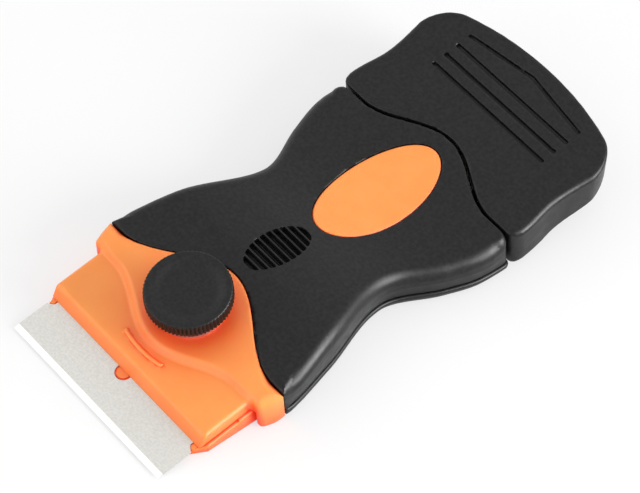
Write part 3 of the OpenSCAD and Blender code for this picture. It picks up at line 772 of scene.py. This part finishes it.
def thumb_knob():
    """A turned profile whose rim carries fine knurls."""
    points_per_tooth, foot_rise = 6, 0.01
    n = KNOB_TEETH * points_per_tooth
    turns = np.arange(n) * 2 * np.pi / n
    tooth = np.abs(((turns * KNOB_TEETH / (2 * np.pi)) % 1) * 2 - 1)
    rings = []
    for radius, z, cutting in knob_profile():
        r = radius - KNURL * cutting * tooth
        rings.append(np.stack([r * np.cos(turns), KNOB_Y + r * np.sin(turns), np.full(n, z)], -1))
    verts, faces = loft(rings, (0, KNOB_Y, HUB_Z + foot_rise), (0, KNOB_Y, KNOB_TOP - KNOB_DISH))
    solid("thumb_knob", tilt(verts), faces, "knob", "clamp_knob", [knob_black], sharp=50)


def blade_loops():
    """Outline of the blade's flat, with a notch in each end and without its bevels, and its hole."""
    half, mid = BLADE_W / 2, BLADE_D / 2
    front = [(half - depth, mid - width) for depth, width in NOTCH]
    back = [(x, 2 * mid - y) for x, y in reversed(front)]
    right = [(half, BEVEL)] + front + back + [(half, BLADE_D - BEVEL)]
    outer = right + [(-x, y) for x, y in reversed(right)]
    turns = np.linspace(0, 2 * math.pi, HOLE_SIDES + 1)[:-1]
    hole = [(HOLE_R * math.cos(t), mid + HOLE_R * math.sin(t)) for t in turns]
    return outer, hole


def fill(loops):
    """Triangles, wound to face up, that fill the first loop outside the other."""
    bm = bmesh.new()
    for loop in loops:
        ring = [bm.verts.new((x, y, 0)) for x, y in loop]
        for a, b in zip(ring, ring[1:] + ring[:1]):
            bm.edges.new((a, b))
    bmesh.ops.triangle_fill(bm, use_beauty=True, edges=bm.edges[:])
    bm.verts.index_update()
    triangles = []
    for face in bm.faces:
        face.normal_update()
        corners = [vert.index for vert in face.verts]
        triangles.append(tuple(corners if face.normal.z > 0 else reversed(corners)))
    bm.free()
    return triangles


def blade_walls(outer, hole, n):
    """The thin walls round the flat and in the hole. The long edges have none, as they carry the bevels."""
    faces = []
    count = len(outer)
    for i in range(count):
        j = (i + 1) % count
        if outer[i][1] == outer[j][1] and outer[i][1] in (BEVEL, BLADE_D - BEVEL):
            continue
        faces.append((i, i + n, j + n, j))
    for i in range(len(hole)):
        j = (i + 1) % len(hole)
        faces.append((count + i, count + j, count + j + n, count + i + n))
    return faces


def scraper_blade():
    """Flat blade with a middle hole, end notches and a ground bevel on both long edges."""
    crease = 4
    half = BLADE_W / 2
    outer, hole = blade_loops()
    flat = outer + hole
    n, count = len(flat), len(outer)
    verts = [(x, y, 0) for x, y in flat] + [(x, y, -BLADE_T) for x, y in flat]
    faces = []
    for top in fill((outer, hole)):
        faces += [top, tuple(i + n for i in reversed(top))]
    faces += blade_walls(outer, hole, n)
    first_bevel = len(faces)
    for edge_y, right, left in ((0.0, 0, count - 1), (BLADE_D, count // 2 - 1, count // 2)):
        e = len(verts)
        verts += [(half, edge_y, -BLADE_T / 2), (-half, edge_y, -BLADE_T / 2)]
        strips = [(left, e + 1, e, right), (right + n, e, e + 1, left + n),
                  (right, e, right + n), (left, left + n, e + 1)]
        faces += strips if edge_y == 0 else [tuple(reversed(strip)) for strip in strips]
    finishes = [steel, ground]
    piece = solid("scraper_blade", tilt(verts), faces, "handle", "blade", finishes, crease)
    for k in range(first_bevel, len(faces)):
        piece.data.polygons[k].material_index = 1


def dress(name, finish):
    """Give a CAD node that keeps its own shape its finish."""
    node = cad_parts[name]
    node.data.materials.clear()
    node.data.materials.append(finish)


shells_and_cap()
jaws()
oval_panel()
thumb_knob()
scraper_blade()
for fastener in ("clamp_screw", "clamp_nut", "knob_washer", "shell_screws"):
    dress(fastener, zinc)
dress("blade_tray", black)
for number in range(1, SPARES + 1):
    dress(f"spare_blade_{number}", steel)


# Stage, in metres: a pale floor that renders white to the camera and keeps a soft shadow
def backdrop():
    half, camera_share = 1.5, 0.6
    m, nodes, links, shader = material("pale_floor", rough=0.9, specular=0.1)
    cloud = noise(nodes, links, scale=3, detail=2)
    links.new(ramp(nodes, links, cloud, low=grey(0.86), high=grey(0.88)), shader.inputs["Base Color"])
    glow = nodes.new("ShaderNodeEmission")
    glow.inputs["Color"].default_value = grey(1.0)
    glow.inputs["Strength"].default_value = 1.0
    path = nodes.new("ShaderNodeLightPath")
    share = nodes.new("ShaderNodeMath")
    share.operation = "MULTIPLY"
    share.inputs[1].default_value = camera_share
    mix = nodes.new("ShaderNodeMixShader")
    links.new(path.outputs["Is Camera Ray"], share.inputs[0])
    links.new(share.outputs["Value"], mix.inputs["Fac"])
    links.new(shader.outputs["BSDF"], mix.inputs[1])
    links.new(glow.outputs["Emission"], mix.inputs[2])
    links.new(mix.outputs["Shader"], nodes["Material Output"].inputs["Surface"])
    mesh = bpy.data.meshes.new("floor")
    corners = [(-half, -half, 0), (half, -half, 0), (half, half, 0), (-half, half, 0)]
    mesh.from_pydata(corners, [], [(0, 1, 2, 3)])
    mesh.materials.append(m)
    floor = bpy.data.objects.new("floor", mesh)
    bpy.context.scene.collection.objects.link(floor)


def sky():
    """An even white world, a little dimmer as a light than it looks."""
    as_light, as_seen = 0.7, 1.0
    world = bpy.data.worlds.new("studio")
    world.use_nodes = True
    nodes, links = world.node_tree.nodes, world.node_tree.links
    base = nodes["Background"]
    base.inputs["Color"].default_value = grey(1.0)
    base.inputs["Strength"].default_value = as_light
    white = nodes.new("ShaderNodeBackground")
    white.inputs["Color"].default_value = grey(1.0)
    white.inputs["Strength"].default_value = as_seen
    path = nodes.new("ShaderNodeLightPath")
    seen = nodes.new("ShaderNodeMath")
    seen.operation = "MAXIMUM"
    mix = nodes.new("ShaderNodeMixShader")
    links.new(path.outputs["Is Camera Ray"], seen.inputs[0])
    links.new(path.outputs["Is Glossy Ray"], seen.inputs[1])
    links.new(seen.outputs["Value"], mix.inputs["Fac"])
    links.new(base.outputs["Background"], mix.inputs[1])
    links.new(white.outputs["Background"], mix.inputs[2])
    links.new(mix.outputs["Shader"], nodes["World Output"].inputs["Surface"])
    bpy.context.scene.world = world


# Lamps: name, place, diameter and power in watts.
# The card shows only in reflections: it draws the soft bands along the rounded right edges.
LAMPS = (("key", (-0.8, -0.45, 0.6), 0.8, 1.6),
         ("right", (0.6, 0.3, 0.26), 0.42, 5.2),
         ("front", (-0.1, -0.85, 0.32), 0.6, 1.8),
         ("card", (0.64, 0.447, 0.45), 0.84, 12.0))


def lamps():
    for name, spot, size, power in LAMPS:
        lamp = bpy.data.lights.new(name, "AREA")
        lamp.shape = "DISK"
        lamp.size = size
        lamp.energy = power
        obj = bpy.data.objects.new(name, lamp)
        obj.location = spot
        obj.rotation_euler = (-Vector(spot)).to_track_quat("-Z", "Y").to_euler()
        obj.visible_diffuse = name != "card"
        bpy.context.scene.collection.objects.link(obj)


# The photograph's viewpoint, fitted from the blade and from matching points on both sides
CAMERA_SPOT = (0.226903, -0.25486, 0.431608)
CAMERA_TURN = (38.1456, -5.72615, 48.93527)
LENS, SENSOR = 174.8, 36


def camera():
    data = bpy.data.cameras.new("camera")
    data.sensor_fit = "HORIZONTAL"
    data.sensor_width = SENSOR
    data.lens = LENS
    data.clip_start, data.clip_end = 0.01, 20
    obj = bpy.data.objects.new("camera", data)
    obj.location = CAMERA_SPOT
    obj.rotation_euler = [math.radians(angle) for angle in CAMERA_TURN]
    bpy.context.scene.collection.objects.link(obj)
    bpy.context.scene.camera = obj


backdrop()
sky()
lamps()
camera()
bpy.context.scene.view_settings.view_transform = "Standard"
